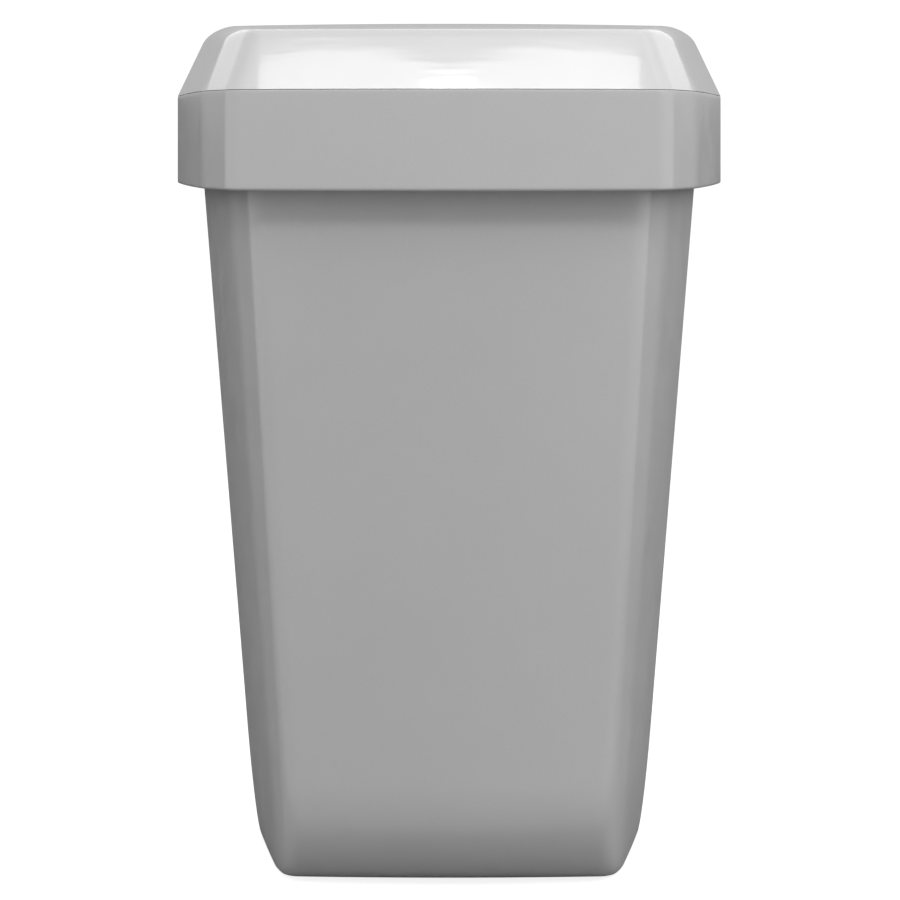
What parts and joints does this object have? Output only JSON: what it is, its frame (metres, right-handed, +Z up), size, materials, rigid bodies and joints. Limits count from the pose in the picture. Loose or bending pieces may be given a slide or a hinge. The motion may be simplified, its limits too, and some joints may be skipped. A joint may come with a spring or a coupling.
{
  "type": "waste paper bin",
  "caption": "Tapered free-standing waste bin: an open tub with a bag ring in its mouth, closed by a hinged hood made of a collar and a sloped, crowned lid.",
  "frame": {"origin": "on the floor, midway across the bin and midway from the front to the back of the hood", "axes": "+X to the right as seen from the front, +Y towards the back where the hinges are, +Z up"},
  "size_m": [0.4338, 0.291, 0.6237],
  "materials": {
    "tub_plastic": "pale neutral grey moulded plastic with a fine even grain, satin",
    "collar_plastic": "pale neutral grey moulded plastic with a fine even grain, satin",
    "lid_plastic": "white moulded plastic, polished and glossy",
    "ring_plastic": "dark grey moulded plastic, fine grain",
    "bracket_plastic": "grey moulded plastic, fine grain",
    "steel": "zinc-plated steel, satin",
    "rubber": "black rubber, matt"
  },
  "bodies": {
    "tub": {"tub": "tub_plastic", "foot_front_left": "rubber", "foot_front_right": "rubber", "foot_rear_left": "rubber", "foot_rear_right": "rubber", "hinge_bracket_left": "bracket_plastic", "hinge_bracket_right": "bracket_plastic", "bracket_bolt_left_outer": "steel", "bracket_bolt_left_inner": "steel", "bracket_nut_left_outer": "steel", "bracket_nut_left_inner": "steel", "bracket_bolt_right_outer": "steel", "bracket_bolt_right_inner": "steel", "bracket_nut_right_outer": "steel", "bracket_nut_right_inner": "steel", "hinge_pin_left": "steel", "hinge_pin_right": "steel", "hinge_pin_cap_left": "steel", "hinge_pin_cap_right": "steel"},
    "hood": {"collar": "collar_plastic", "lid": "lid_plastic", "lid_screw_left_1": "steel", "lid_screw_right_1": "steel", "lid_screw_left_2": "steel", "lid_screw_right_2": "steel", "lid_screw_left_3": "steel", "lid_screw_right_3": "steel", "buffer_left_1": "rubber", "buffer_right_1": "rubber", "buffer_left_2": "rubber", "buffer_right_2": "rubber"},
    "bag_ring": {"bag_ring": "ring_plastic"}
  },
  "joints": [
    {"name": "hood_hinge", "type": "hinge", "parent": "tub", "child": "hood", "pos_m": [0, 0.1385, 0.5058], "axis": [-1, 0, 0], "range_deg": [0, 100]},
    {"name": "bag_ring_lift", "type": "slide", "parent": "tub", "child": "bag_ring", "axis": [0, 0, 1], "range_m": [0, 0.03]}
  ]
}
